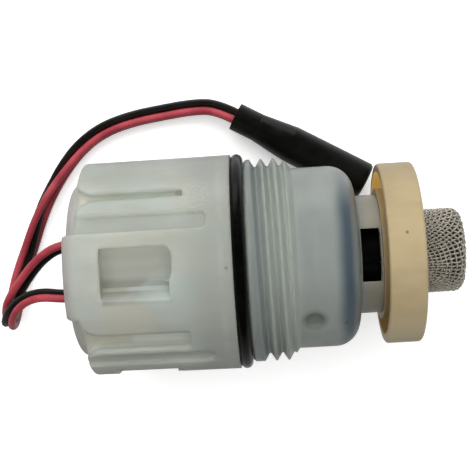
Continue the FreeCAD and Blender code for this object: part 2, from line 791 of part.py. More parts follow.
def make_pilot_plate():
    radius, start = size("pilot_plate_radius"), size("guide_end")
    seal_start = size("plate_seal_start")
    seal_end = seal_start + size("plate_seal_section")
    root, end, bore = size("plate_seal_root"), size("pilot_plate_end"), size("skirt_bore")
    boss, boss_end = size("spring_boss_radius"), size("spring_boss_end")
    recess, recess_end, tip = size("pilot_recess_radius"), size("pilot_recess_end"), size("nozzle_tip")
    blank = doc.addObject("PartDesign::Body", "PilotPlateBlank")
    turn(blank, [
        (start, recess), (start, radius), (seal_start, radius), (seal_start, root), (seal_end, root),
        (seal_end, radius), (size("skirt_end"), radius), (size("skirt_end"), bore), (end, bore), (end, boss),
        (boss_end, boss), (boss_end, 0), (tip, 0), (tip, size("nozzle_tip_radius")),
        (recess_end, size("nozzle_radius")), (recess_end, recess),
    ])
    duct, cross = size("pilot_duct_radius"), size("cross_duct_position")
    angle = plain(size("pilot_outlet_angle"))
    circle = size("skirt_duct_circle")
    outlet = size("pilot_outlet_position")
    nozzle = primitive("Cylinder", "NozzleDuct", {"Radius": duct, "Height": cross - tip + OVERRUN})
    along_x(nozzle, tip - OVERRUN)
    spin = FreeCAD.Rotation(V(1, 0, 0), angle)
    across = primitive("Cylinder", "CrossDuct", {"Radius": duct, "Height": circle})
    across.Placement = FreeCAD.Placement(V(0, 0, 0), spin)
    bind(across, "Placement.Base.x", cross)
    side_y, side_z = circle * -math.sin(math.radians(angle)), circle * math.cos(math.radians(angle))
    lengthwise = primitive("Cylinder", "SkirtDuct", {"Radius": size("skirt_duct_radius"), "Height": outlet - cross})
    along_x(lengthwise, cross, side_y, side_z)
    outward = primitive("Cylinder", "OutletDuct", {"Radius": duct, "Height": radius - circle + OVERRUN})
    outward.Placement = FreeCAD.Placement(V(0, 0, 0), spin)
    bind(outward, "Placement.Base.x", outlet)
    bind(outward, "Placement.Base.y", side_y)
    bind(outward, "Placement.Base.z", side_z)
    feeds = []
    through = {"Radius": size("feed_hole_radius"), "Height": end - recess_end + OVERRUN * 2}
    for number, way in enumerate((1, -1), start=1):
        feed = primitive("Cylinder", f"FeedHole{number}", through)
        feeds.append(along_x(feed, recess_end - OVERRUN, size("feed_hole_circle") * way))
    depth = size("bleed_pin_depth")
    pin_hole = primitive("Cylinder", "BleedPinHole", {"Radius": size("bleed_pin_radius"), "Height": depth})
    along_x(pin_hole, boss_end - depth)
    drilled(blank, [nozzle, across, lengthwise, outward, pin_hole] + feeds, "pilot_plate")


def make_diaphragm():
    web, ledge, seat = size("diaphragm_web_start"), size("ledge_position"), size("seat_position")
    boss, bead = size("diaphragm_boss_radius"), size("bead_bore")
    hole = size("diaphragm_hole")
    turned("diaphragm", [
        (web, hole), (web, bead), (size("skirt_end"), bead), (size("skirt_end"), size("pilot_plate_radius")),
        (ledge, size("pilot_plate_radius")), (ledge, boss), (seat, boss), (seat, hole),
    ])
    bleed, head = size("bleed_hole_radius"), size("insert_head_radius")
    turned("diaphragm_insert", [
        (size("insert_start"), bleed), (size("insert_start"), size("insert_radius")),
        (web - CLEAR, size("insert_radius")), (web - CLEAR, hole - CLEAR), (seat + CLEAR, hole - CLEAR),
        (seat + CLEAR, head), (size("insert_head_end"), head), (size("insert_head_end"), bleed),
    ])
    seated = size("spring_boss_end") - size("bleed_pin_depth")
    tube("bleed_pin", seated, size("bleed_pin_end"), 0, size("bleed_pin_radius"))


# ---------------------------------------------------------------- connector and leads
def connector_place():
    """Placement that carries a piece drawn along +X onto the connector's own axis."""
    end = V(plain(size("connector_end_x")), plain(size("connector_end_y")), plain(size("connector_height")))
    return FreeCAD.Placement(end, FreeCAD.Rotation(V(0, 0, 1), plain(size("connector_heading"))))


def connector_turned(label, corners):
    body = new_body(label)
    turn(body, corners)
    body.Placement = connector_place()
    return body


def make_connector():
    boot, boot_end = size("boot_radius"), size("boot_length")
    shell_start, taper = size("shell_start"), size("shell_taper")
    radius, length, bore = size("shell_radius"), size("shell_length"), size("shell_bore")
    end = shell_start + length
    inner_end, mouth = end - size("insert_length"), end - size("insert_setback")
    connector_turned("connector_boot", [(0, 0), (0, boot), (boot_end, boot), (boot_end, 0)])
    shell = connector_turned("connector_shell", [
        (shell_start, 0), (shell_start, boot), (shell_start + taper, radius), (end, radius),
        (end, bore), (inner_end, bore), (inner_end, 0),
    ])
    soften(shell, [(end, radius)], size("shell_end_round"))
    insert = connector_turned("connector_insert", [
        (inner_end, 0), (inner_end, bore), (mouth, bore), (mouth, 0),
    ])
    sockets = new_sketch(insert, "SocketBores", "YZ_Plane", FreeCAD.Placement(V(0, 0, plain(mouth)), NO_TURN))
    spots = [(size("contact_circle") * way_y, size("contact_circle") * way_z)
             for way_y, way_z in ((1, 0), (0, 1), (-1, 0), (0, -1))]
    for y, z in spots:
        circle_outline(sockets, (y if plain(y) else 0, z if plain(z) else 0), size("contact_radius"))
    cut_pocket(insert, sockets, size("contact_length"))
    contacts = []
    sleeve = {"Radius": size("contact_radius"), "Height": size("contact_length") - size("contact_setback")}
    for number, (y, z) in enumerate(spots, start=1):
        contact = primitive("Cylinder", f"Contact{number}", sleeve)
        contacts.append(along_x(contact, mouth - size("contact_length"), y, z))
    group = doc.addObject("Part::Compound", "connector_contacts")
    group.Links = contacts
    group.Placement = connector_place()
    named(group, "connector_contacts")


# Each lead is a pair of wires side by side. A row is one point on the middle of the pair, x, y, z, then the
# way from that middle to the red wire: its heading in plan and its tilt above the plane, in degrees.
FIRST_LEAD = [
    (-31.2, 4.2, 17.5, 90, 62),
    (-34.4, 4.1, 17.4, 102, 62),
    (-37.9, 2.2, 16.6, 124, 60),
    (-41.3, -1.0, 13.9, 140, 56),
    (-44.6, -5.1, 11.7, 148, 36),
    (-45.6, -7.6, 8.9, 160, 15),
    (-46.15, -7.7, 4.9, 164, 0),
    (-46.2, -4.9, 2.1, 164, 0),
    (-44.9, -0.4, 2.05, 162, 0),
    (-43.0, 4.0, 2.4, 158, 35),
    (-41.3, 8.8, 2.8, 156, 72),
    (-39.2, 13.3, 2.8, -28, 70),
    (-36.4, 17.6, 2.4, -37, 33),
    (-33.0, 21.6, 2.1, -48, 0),
    (-28.6, 24.6, 2.1, -65, 0),
    (-23.3, 26.2, 2.1, -77, 0),
    (-17.8, 27.0, 2.1, -83, 0),
    (-12.4, 27.6, 2.5, -90, 0),
    (-8.0, 27.3, 3.5, -107, 0),
    (-4.6, 25.3, 3.96, -120, 0),
]
SECOND_LEAD = [
    (-31.2, -4.4, 17.5, -90, 55),
    (-34.5, -4.2, 17.6, -88, 55),
    (-38.3, -3.7, 17.0, -77, 55),
    (-41.9, -4.7, 14.9, -60, 48),
    (-44.6, -7.0, 12.5, -40, 30),
    (-45.9, -9.2, 9.1, -24, 10),
    (-46.3, -9.2, 4.2, -20, 0),
    (-46.2, -5.8, 0.67, -16, 0),
    (-44.9, -0.5, 0.67, -18, 0),
    (-43.0, 4.0, 0.67, -20, 0),
    (-41.3, 8.8, 0.67, -22, 0),
    (-39.2, 13.3, 0.67, -30, 0),
    (-36.4, 17.6, 0.67, -37, 0),
    (-33.0, 21.6, 0.67, -48, 0),
    (-28.6, 24.6, 0.67, -65, 0),
    (-23.3, 26.2, 0.67, -77, 0),
    (-17.8, 27.0, 0.67, -83, 0),
    (-12.4, 27.6, 1.0, -90, 0),
    (-8.0, 27.3, 2.0, -107, 0),
    (-4.6, 25.3, 2.54, -120, 0),
]


def strand(lead, way):
    """Points of one wire of a lead: the red one for way 1, the black one for way -1."""
    half_pitch = plain(size("wire_pitch")) / 2 * way
    middles = [V(x, y, z) for x, y, z, heading, tilt in lead]
    points = []
    for i, (x, y, z, heading, tilt) in enumerate(lead):
        plan, rise = math.radians(heading), math.radians(tilt)
        beside = V(math.cos(rise) * math.cos(plan), math.cos(rise) * math.sin(plan), math.sin(rise))
        if tilt:
            # square to the lead's own run, so that a tilted pair stays as far apart as a flat one
            run = (middles[min(i + 1, len(lead) - 1)] - middles[max(i - 1, 0)]).normalize()
            beside = (beside - run * beside.dot(run)).normalize()
        points.append(middles[i] + beside * half_pitch)
    return points


def rounded_path(points):
    """Straight runs joined by tangent arcs, each as large as its two runs allow, and the smallest radius."""
    edges = []
    radii = []
    at = points[0]
    for before, corner, after in zip(points, points[1:], points[2:]):
        back, ahead = before - corner, after - corner
        half_turn = (math.pi - back.getAngle(ahead)) / 2
        reach = 0.45 * min(back.Length, ahead.Length)
        radii.append(reach / math.tan(half_turn))
        start = corner + back.normalize() * reach
        end = corner + ahead.normalize() * reach
        middle_way = ((start - corner) + (end - corner)).normalize()
        middle = corner + middle_way * (radii[-1] / math.cos(half_turn) - radii[-1])
        edges.append(Part.LineSegment(at, start).toShape())
        edges.append(Part.Arc(start, middle, end).toShape())
        at = end
    edges.append(Part.LineSegment(at, points[-1]).toShape())
    return Part.Wire(edges), min(radii)


def make_wire(label, lead, way):
    diameter = plain(size("wire_diameter"))
    points = strand(lead, way)
    path, tightest = rounded_path(points)
    section = Part.Wire(Part.Circle(points[0], points[1] - points[0], diameter / 2).toShape())
    wire = doc.addObject("Part::Feature", label)
    wire.Shape = path.makePipeShell([section], True, False)
    wire.Placement = FreeCAD.Placement()
    expected = math.pi * diameter ** 2 / 4 * path.Length
    print(f"{label}: length {path.Length:.1f}, tightest radius {tightest:.2f},"
          f" volume {wire.Shape.Volume:.2f} for {expected:.2f}")
    return named(wire, label)


def make_leads():
    make_wire("first_red_wire", FIRST_LEAD, 1)
    make_wire("first_black_wire", FIRST_LEAD, -1)
    make_wire("second_red_wire", SECOND_LEAD, 1)
    make_wire("second_black_wire", SECOND_LEAD, -1)


def main():
    make_cap()
    make_lead_grommets()
    make_valve_body()
    section = size("seal_section")
    make_seal_ring("flange_seal", size("cap_length") + section / 2, section, size("seal_inner_radius"))
    make_end_ring()
    make_inlet_tube()
    tube_section = size("tube_seal_section")
    make_seal_ring("tube_seal", size("tube_seal_start") + tube_section / 2, tube_section, size("tube_radius"))
    make_strainer()
    make_yoke()
    make_bobbin()
    make_terminals()
    make_core_and_guide()
    make_plunger()
    floor = size("plunger_start") + size("plunger_spring_depth")
    make_spring("plunger_spring", size("core_end"), floor, size("plunger_spring_radius"),
                size("plunger_spring_wire"), size("plunger_spring_pitch"))
    make_pilot_plate()
    plate_section = size("plate_seal_section")
    make_seal_ring("plate_seal", size("plate_seal_start") + plate_section / 2, plate_section,
                   size("plate_seal_root"))
    make_diaphragm()
    make_spring("diaphragm_spring", size("pilot_plate_end"), size("insert_start"), size("diaphragm_spring_radius"),
                size("diaphragm_spring_wire"), size("diaphragm_spring_pitch"))
    make_connector()
    make_leads()
    doc.recompute()
    os.makedirs("parts", exist_ok=True)
    for item in doc.Objects:
        if "Invalid" in item.State or "Error" in item.State:
            raise RuntimeError(f"{item.Name} failed: {item.State}")
    for node in nodes:
        shape = node.Shape
        if shape.isNull() or not shape.isValid():
            raise RuntimeError(f"{node.Label} has no valid shape")
        print(f"{node.Label:22s} {len(shape.Solids)} solids {shape.Volume:10.2f} mm3")
        shape.exportStep(f"parts/{node.Label}.step")


main()
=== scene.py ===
"""Looks, camera, light and floor for the screw-in solenoid valve cartridge."""

import math

import bpy  # noqa: E402
from mathutils import Matrix, Vector, noise  # noqa: E402


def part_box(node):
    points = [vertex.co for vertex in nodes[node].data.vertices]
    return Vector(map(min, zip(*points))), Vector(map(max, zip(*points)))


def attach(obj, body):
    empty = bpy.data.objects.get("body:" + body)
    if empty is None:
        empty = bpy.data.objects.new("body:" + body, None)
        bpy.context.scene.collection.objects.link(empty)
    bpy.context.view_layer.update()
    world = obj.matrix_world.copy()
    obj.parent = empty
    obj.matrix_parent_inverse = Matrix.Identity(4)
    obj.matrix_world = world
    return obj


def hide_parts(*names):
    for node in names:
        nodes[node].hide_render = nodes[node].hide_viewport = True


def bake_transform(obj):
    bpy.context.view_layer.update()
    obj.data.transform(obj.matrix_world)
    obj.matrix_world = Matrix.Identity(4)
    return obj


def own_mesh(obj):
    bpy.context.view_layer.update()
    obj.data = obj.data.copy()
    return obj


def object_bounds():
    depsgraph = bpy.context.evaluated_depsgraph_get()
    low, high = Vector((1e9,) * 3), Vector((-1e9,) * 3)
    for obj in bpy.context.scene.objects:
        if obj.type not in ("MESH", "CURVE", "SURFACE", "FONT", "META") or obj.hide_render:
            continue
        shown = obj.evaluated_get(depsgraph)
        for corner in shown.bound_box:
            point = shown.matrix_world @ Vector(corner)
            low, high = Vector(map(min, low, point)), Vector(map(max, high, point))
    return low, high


MM = 0.001

# Radii about the valve's axis, in mm.
CAP_SKIN = 17.3
CAP_FLANGE = 17.4
GAP_FLOOR = 15.3
FLUTE_FLOOR = 16.6
BARREL = 14.7
RING_SKIN = 14.65
RING_HUB = 10.6
RING_BORE = 13.2

# Places along the valve, in mm from the cap's end face.
SHOULDER = 45.2
RING_WEB = 53.2
RING_MIDDLE = 52.05
PLUNGER_SPRING_SEAT = 11.7
DIAPHRAGM_SPRING_SEAT = 28.6

WHITE = (1.0, 1.0, 1.0)
MARK_BROWN = (0.12, 0.12, 0.09)

HOUSING = "housing"

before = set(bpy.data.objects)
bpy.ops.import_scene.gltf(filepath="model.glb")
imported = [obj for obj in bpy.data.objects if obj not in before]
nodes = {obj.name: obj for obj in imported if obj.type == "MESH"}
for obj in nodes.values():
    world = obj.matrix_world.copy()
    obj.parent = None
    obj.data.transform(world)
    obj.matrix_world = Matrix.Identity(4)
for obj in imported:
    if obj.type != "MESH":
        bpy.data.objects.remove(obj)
cad_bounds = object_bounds()
cap_low, cap_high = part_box("cap")
CAP_END = cap_low.x
AXIS_Z = (cap_low.z + cap_high.z) / 2


def from_end(distance_mm):
    """The x of a point that far from the cap's end face."""
    return CAP_END + distance_mm * MM


# ---------------------------------------------------------------- shader graphs


class Graph:
    """One node material, with the few nodes that every surface here is made of."""

    def __init__(self, name):
        self.material = bpy.data.materials.new(name)
        self.material.use_nodes = True
        self.tree = self.material.node_tree
        self.shader = self.tree.nodes["Principled BSDF"]
        self.place = self.add("ShaderNodeTexCoord").outputs["Object"]
        split = self.add("ShaderNodeSeparateXYZ")
        self.join(self.place, split.inputs[0])
        self.x, self.y, self.z = split.outputs

    def add(self, kind, **settings):
        node = self.tree.nodes.new(kind)
        for key, value in settings.items():
            setattr(node, key, value)
        return node

    def join(self, source, target):
        """Links an output to an input, or sets the input to a constant."""
        if isinstance(source, bpy.types.NodeSocket):
            self.tree.links.new(source, target)
        else:
            target.default_value = source

    def set(self, **values):
        """Sets or links the shader's sockets, named with _ for a space."""
        for key, value in values.items():
            self.join(value, self.shader.inputs[key.replace("_", " ")])

    def noise(self, scale, detail=3.0, roughness=0.5, stretch=None):
        node = self.add("ShaderNodeTexNoise")
        node.inputs["Scale"].default_value = scale
        node.inputs["Detail"].default_value = detail
        node.inputs["Roughness"].default_value = roughness
        place = self.place
        if stretch:
            mapping = self.add("ShaderNodeMapping")
            mapping.inputs["Scale"].default_value = stretch
            self.join(place, mapping.inputs["Vector"])
            place = mapping.outputs[0]
        self.join(place, node.inputs["Vector"])
        return node.outputs[0]

    def math(self, operation, first, second=0.0):
        node = self.add("ShaderNodeMath", operation=operation)
        self.join(first, node.inputs[0])
        self.join(second, node.inputs[1])
        return node.outputs[0]

    def product(self, first, *others):
        for other in others:
            first = self.math("MULTIPLY", first, other)
        return first

    def size_of(self, value):
        return self.math("ABSOLUTE", value)

    def shares(self, first, first_share, second):
        """Two noises in one, the second with what the first leaves."""
        return self.math("ADD", self.product(first, first_share), self.product(second, 1.0 - first_share))

    def ramp(self, value, low, high, to_low=0.0, to_high=1.0):
        """value from low to high becomes to_low to to_high, and stops there."""
        node = self.add("ShaderNodeMapRange", interpolation_type="SMOOTHSTEP")
        self.join(value, node.inputs["Value"])
        for key, number in (("From Min", low), ("From Max", high), ("To Min", to_low), ("To Max", to_high)):
            self.join(number, node.inputs[key])
        return node.outputs[0]

    def band(self, value, start, full, still, end):
        """1 between full and still, fading to 0 at start and end."""
        rise = self.ramp(value, start, full)
        fall = self.ramp(value, still, end, 1.0, 0.0)
        return self.product(rise, fall)

    def ramp_mm(self, value, low, high, to_low=0.0, to_high=1.0):
        return self.ramp(value, low * MM, high * MM, to_low, to_high)

    def band_mm(self, value, start, full, still, end):
        return self.band(value, start * MM, full * MM, still * MM, end * MM)

    def ramp_along(self, low, high, to_low=0.0, to_high=1.0):
        """A ramp along the axis, in mm from the cap's end face."""
        return self.ramp(self.x, from_end(low), from_end(high), to_low, to_high)

    def band_along(self, start, full, still, end, value=None):
        """A band along the axis, in mm from the cap's end face."""
        value = self.x if value is None else value
        return self.band(value, from_end(start), from_end(full), from_end(still), from_end(end))

    def mix(self, share, first, second):
        node = self.add("ShaderNodeMix", data_type="RGBA")
        self.join(share, node.inputs[0])
        self.join(colour(first), node.inputs[6])
        self.join(colour(second), node.inputs[7])
        return node.outputs[2]

    def coat(self, base, coats):
        """Lays coats over a base one after the other, each a share and a colour."""
        for share, tone in coats:
            base = self.mix(share, base, tone)
        return base

    def radius(self):
        """Distance from the valve's axis."""
        height = self.math("SUBTRACT", self.z, AXIS_Z)
        square = self.math("ADD", self.product(self.y, self.y), self.product(height, height))
        return self.math("SQRT", square)

    def spot(self, point, size):
        """1 within that distance of a point, fading out over as much again."""
        node = self.add("ShaderNodeVectorMath", operation="DISTANCE")
        self.join(self.place, node.inputs[0])
        node.inputs[1].default_value = point
        return self.ramp(node.outputs["Value"], size, 2 * size, 1.0, 0.0)

    def rounded(self, width):
        """The surface's normal with its edges rounded off by that width."""
        node = self.add("ShaderNodeBevel", samples=6)
        node.inputs["Radius"].default_value = width
        return node.outputs[0]

    def edges(self, width, strength):
        """Near 1 along edges, where the rounded normal leaves the true one."""
        dot = self.add("ShaderNodeVectorMath", operation="DOT_PRODUCT")
        self.join(self.rounded(width), dot.inputs[0])
        self.join(self.add("ShaderNodeNewGeometry").outputs["Normal"], dot.inputs[1])
        return self.ramp(dot.outputs["Value"], 1.0 - strength, 0.999, 1.0, 0.0)

    def bump(self, height, distance, strength=1.0, normal=None):
        node = self.add("ShaderNodeBump")
        node.inputs["Distance"].default_value = distance
        node.inputs["Strength"].default_value = strength
        self.join(height, node.inputs["Height"])
        if normal is not None:
            self.join(normal, node.inputs["Normal"])
        return node.outputs[0]


def colour(value):
    """A colour of three numbers as four."""
    return (*value, 1.0) if isinstance(value, tuple) and len(value) == 3 else value


def wear(name, material):
    """Gives a CAD node its material."""
    slots = nodes[name].data.materials
    slots.clear()
    slots.append(material)


# ---------------------------------------------------------------- moulded plastics


def on_skin(distance_mm, angle, radius_mm):
    """A point of the skin: that far from the cap's end, at an angle from the top towards -Y."""
    turn = math.radians(angle)
    return from_end(distance_mm), -radius_mm * MM * math.sin(turn), AXIS_Z + radius_mm * MM * math.cos(turn)


def pocket_painted_light_and_shade(g, radius):
    """The pocket fades from its far wall over its floor and up its ramp, as painted light and shade: paler
    deep down and on its far wall, darker on its ramp, near floor, the ramp's foot and the lip. Also gives the
    ramp's share.
    """
    across = g.size_of(g.y)
    along = g.band_along(5.6, 6.2, 16.2, 16.9)
    # painted light: the pocket paler the deeper it goes; painted shade: darker down its ramp
    paler = g.ramp_mm(radius, 14.9, 16.6, 0.7, 0.0)
    ramp = g.product(g.band_mm(g.y, -4.5, -3.9, -1.9, -0.9), g.ramp_mm(radius, 16.9, 17.25, 0.85, 0.0))
    floor = g.product(g.ramp_mm(across, 4.4, 5.0, 1.0, 0.0), g.ramp_mm(radius, 14.6, 15.2, 1.0, 0.0))
    # painted light on the far wall; painted shade on the near floor, the ramp's foot and the lip
    far_wall_painted_light = g.product(floor, g.ramp_mm(g.y, 1.4, 3.2, 0.0, 0.55))
    near_floor_painted_shade = g.product(floor, g.band_mm(g.y, -2.0, -1.2, -0.2, 1.6), 0.5)
    foot = g.band_mm(g.y, -3.7, -3.2, -2.8, -2.4)
    ramp_foot_painted_shade = g.product(foot, g.ramp_mm(radius, 17.0, 17.2, 0.6, 0.0), along)
    lip_painted_shade = g.product(g.band_mm(g.y, -5.6, -4.9, -3.9, -3.6), along, 0.8)
    coats = [
        (paler, (0.345, 0.348, 0.305)),
        (ramp, (0.178, 0.180, 0.156)),
        (far_wall_painted_light, (0.500, 0.505, 0.440)),
        (near_floor_painted_shade, (0.200, 0.204, 0.182)),
        (ramp_foot_painted_shade, (0.120, 0.120, 0.102)),
        (lip_painted_shade, (0.190, 0.190, 0.166)),
    ]
    return coats, ramp


def groove_coats(g, radius):
    """Flutes darkened with painted shade, cooler and warmer patches of the skin, and the gaps painted pale as
    painted light, ending in a cream corner.
    """
    # painted shade: the flutes darker
    flute = g.band_mm(radius, FLUTE_FLOOR - 0.3, FLUTE_FLOOR, FLUTE_FLOOR + 0.1, FLUTE_FLOOR + 0.35)
    cloud = g.noise(115, 2.0, 0.5, stretch=(1.0, 1.3, 0.8))
    # painted light: the gap floors painted pale, cream towards the cap's end face and green further on
    gap = g.band_mm(radius, GAP_FLOOR - 0.4, GAP_FLOOR - 0.2, GAP_FLOOR + 0.2, GAP_FLOOR + 0.6)
    gap_painted_light_tone = g.mix(g.ramp_along(8.8, 10.2), (0.300, 0.298, 0.246), (0.345, 0.368, 0.346))
    return [
        (g.product(flute, 0.6), (0.222, 0.243, 0.225)),
        (g.ramp(cloud, 0.50, 0.66, 0.0, 0.55), (0.300, 0.345, 0.325)),
        (g.product(g.spot(on_skin(17.0, 18.0, CAP_SKIN), 2.6 * MM), 0.55), (0.315, 0.355, 0.345)),
        (g.product(g.spot(on_skin(9.5, 28.0, CAP_SKIN), 2.4 * MM), 0.55), (0.345, 0.330, 0.268)),
        (g.product(gap, 0.85), gap_painted_light_tone),
    ]


def cap_end_coats(g, radius):
    """A pinkish nose, a flange darkened with painted shade and a faint seam, a frosted patch, and outer edges
    made paler with a painted highlight.
    """
    seam = g.product(g.band_along(23.2, 23.8, 24.1, 24.7), g.ramp(g.noise(300, 2.0), 0.40, 0.60, 0.05, 0.35))
    patch = g.spot((from_end(20.0), 10.6 * MM, AXIS_Z + 13.5 * MM), 2.1 * MM)
    frost = g.product(patch, g.ramp(g.noise(3000, 4.0, 0.65), 0.46, 0.62), 0.28)
    # painted highlight: the outer edges paler, weaker beside the pocket
    edges = g.product(g.edges(0.22 * MM, 0.10), g.ramp_mm(radius, 16.2, 16.9, 0.0, 0.45))
    return [
        (g.ramp_along(0.6, 2.2, 0.75, 0.0), (0.296, 0.270, 0.258)),
        # painted shade: darker towards the flange
        (g.ramp_along(15.5, 22.6, 0.0, 0.75), (0.232, 0.244, 0.218)),
        (seam, (0.330, 0.336, 0.318)),
        (frost, (0.42, 0.43, 0.40)),
        (g.product(edges, g.ramp_mm(g.size_of(g.y), 5.0, 6.0, 0.3, 1.0)), (0.44, 0.455, 0.41)),
    ]


def cap_marks(g):
    """A small dark spot at the end of each gap, and one speck on the flange."""
    return [
        (g.product(g.spot(point, size * MM), strength), MARK_BROWN)
        for point, size, strength in (
            (on_skin(17.9, -42.0, 16.3), 0.5, 0.45),
            (on_skin(18.1, 36.0, 16.3), 0.5, 0.45),
            (on_skin(24.7, 1.7, CAP_FLANGE), 0.17, 0.6),
        )
    ]


def milky_cap():
    """Milky, slightly green translucent moulding, painted paler in its recesses as painted light, and greyer
    at the nose.
    """
    g = Graph("cap_plastic")
    streaks = g.noise(420, 3.0, 0.55, stretch=(0.25, 1.0, 1.0))
    shade = g.shares(g.noise(70, 2.0), 0.6, streaks)
    base = g.mix(g.ramp(shade, 0.36, 0.64), (0.290, 0.302, 0.262), (0.350, 0.362, 0.325))
    warm = g.product(g.band_along(3, 8, 18, 23), g.ramp(g.noise(160, 2.0), 0.45, 0.62, 0.0, 0.5))
    radius = g.radius()
    pocket, ramp = pocket_painted_light_and_shade(g, radius)
    coats = [(warm, (0.325, 0.315, 0.252)), *pocket, *groove_coats(g, radius), *cap_end_coats(g, radius)]
    base = g.coat(base, coats + cap_marks(g))
    ripple = g.noise(1500, 3.0, 0.5, stretch=(0.2, 1.0, 1.0))
    height = g.math("ADD", ripple, g.product(g.noise(9000, 2.0), 0.25))
    # painted light: a glow standing in for light that comes through the thin walls, in the recesses, stronger
    # on the +Y side, less in the pocket and none on its ramp
    lit = g.product(
        g.ramp_mm(radius, 15.2, CAP_SKIN, 1.0, 0.0),
        g.ramp_along(1.5, 3.0),
        g.ramp_mm(g.size_of(g.y), 5.0, 8.0, 0.35, 1.0),
        g.ramp_mm(g.y, -9.0, 9.0, 0.45, 1.1),
        g.math("SUBTRACT", 1.0, ramp),
        0.46,
    )
    g.shader.subsurface_method = "BURLEY"
    g.set(
        Base_Color=base,
        Roughness=g.ramp(streaks, 0.3, 0.7, 0.30, 0.46),
        Subsurface_Weight=0.95,
        Subsurface_Radius=(1.0, 1.0, 0.85),
        Subsurface_Scale=2.4 * MM,
        Emission_Color=base,
        Emission_Strength=lit,
        Normal=g.bump(height, 0.02 * MM, 0.45, g.rounded(0.75 * MM)),
    )
    return g.material


def milky_body():
    """Cooler, bluish translucent moulding; the blue diaphragm shows through near the shoulder. Painted shade
    in a recess and in the corner at the shoulder, and a painted highlight along its edges.
    """
    g = Graph("body_plastic")
    fine = g.noise(600, 2.0, 0.5, stretch=(1.0, 0.3, 0.3))
    shade = g.shares(g.noise(90, 2.0), 0.7, fine)
    base = g.mix(g.ramp(shade, 0.36, 0.64), (0.196, 0.216, 0.202), (0.240, 0.259, 0.243))
    wavy = g.math("ADD", g.x, g.product(g.math("SUBTRACT", g.noise(110, 1.0), 0.5), 1.0 * MM))
    thread = g.band_along(27.9, 29.0, 29.6, 31.6, wavy)
    middle = g.product(g.ramp_mm(g.size_of(g.y), 6.0, 11.5, 0.5, 0.0), g.ramp_along(35.0, 36.5))
    facing = g.ramp_mm(g.size_of(g.math("ADD", g.y, 2.0 * MM)), 9.0, 14.6, 1.0, 0.3)
    diaphragm = g.product(g.band_along(40.8, 43.1, 43.4, 44.7, wavy), facing, 0.86)
    # painted shade inside a recess of the body
    recess_painted_shade = g.product(g.spot(on_skin(37.6, 40.5, BARREL - 0.4), 1.3 * MM), 0.75)
    dot = g.product(g.spot(on_skin(42.6, 44.7, BARREL), 0.26 * MM), 0.8)
    # painted shade in the corner at the shoulder
    corner = g.band_along(SHOULDER - 1.2, SHOULDER - 0.6, SHOULDER - 0.1, SHOULDER + 0.2)
    coats = [
        (g.ramp_along(35.0, 36.0, 0.8, 0.0), (0.218, 0.233, 0.206)),
        (g.product(thread, 0.75), (0.132, 0.152, 0.150)),
        (middle, (0.168, 0.183, 0.168)),
        (diaphragm, (0.026, 0.047, 0.068)),
        (recess_painted_shade, (0.095, 0.102, 0.086)),
        (dot, (0.020, 0.040, 0.080)),
        (g.product(g.ramp_along(SHOULDER, SHOULDER + 1.8), 0.85), (0.225, 0.208, 0.160)),
        (g.product(corner, 0.5), (0.150, 0.162, 0.148)),
        # painted highlight along the edges
        (g.product(g.edges(0.14 * MM, 0.12), 0.25), (0.31, 0.33, 0.305)),
    ]
    ripple = g.noise(1300, 2.0, 0.5, stretch=(1.0, 0.3, 0.3))
    g.shader.subsurface_method = "BURLEY"
    g.set(
        Base_Color=g.coat(base, coats),
        Roughness=g.ramp(fine, 0.3, 0.7, 0.28, 0.40),
        Subsurface_Weight=0.9,
        Subsurface_Radius=(0.85, 1.0, 1.0),
        Subsurface_Scale=1.8 * MM,
        Normal=g.bump(ripple, 0.015 * MM, 0.3, g.rounded(0.42 * MM)),
    )
    return g.material


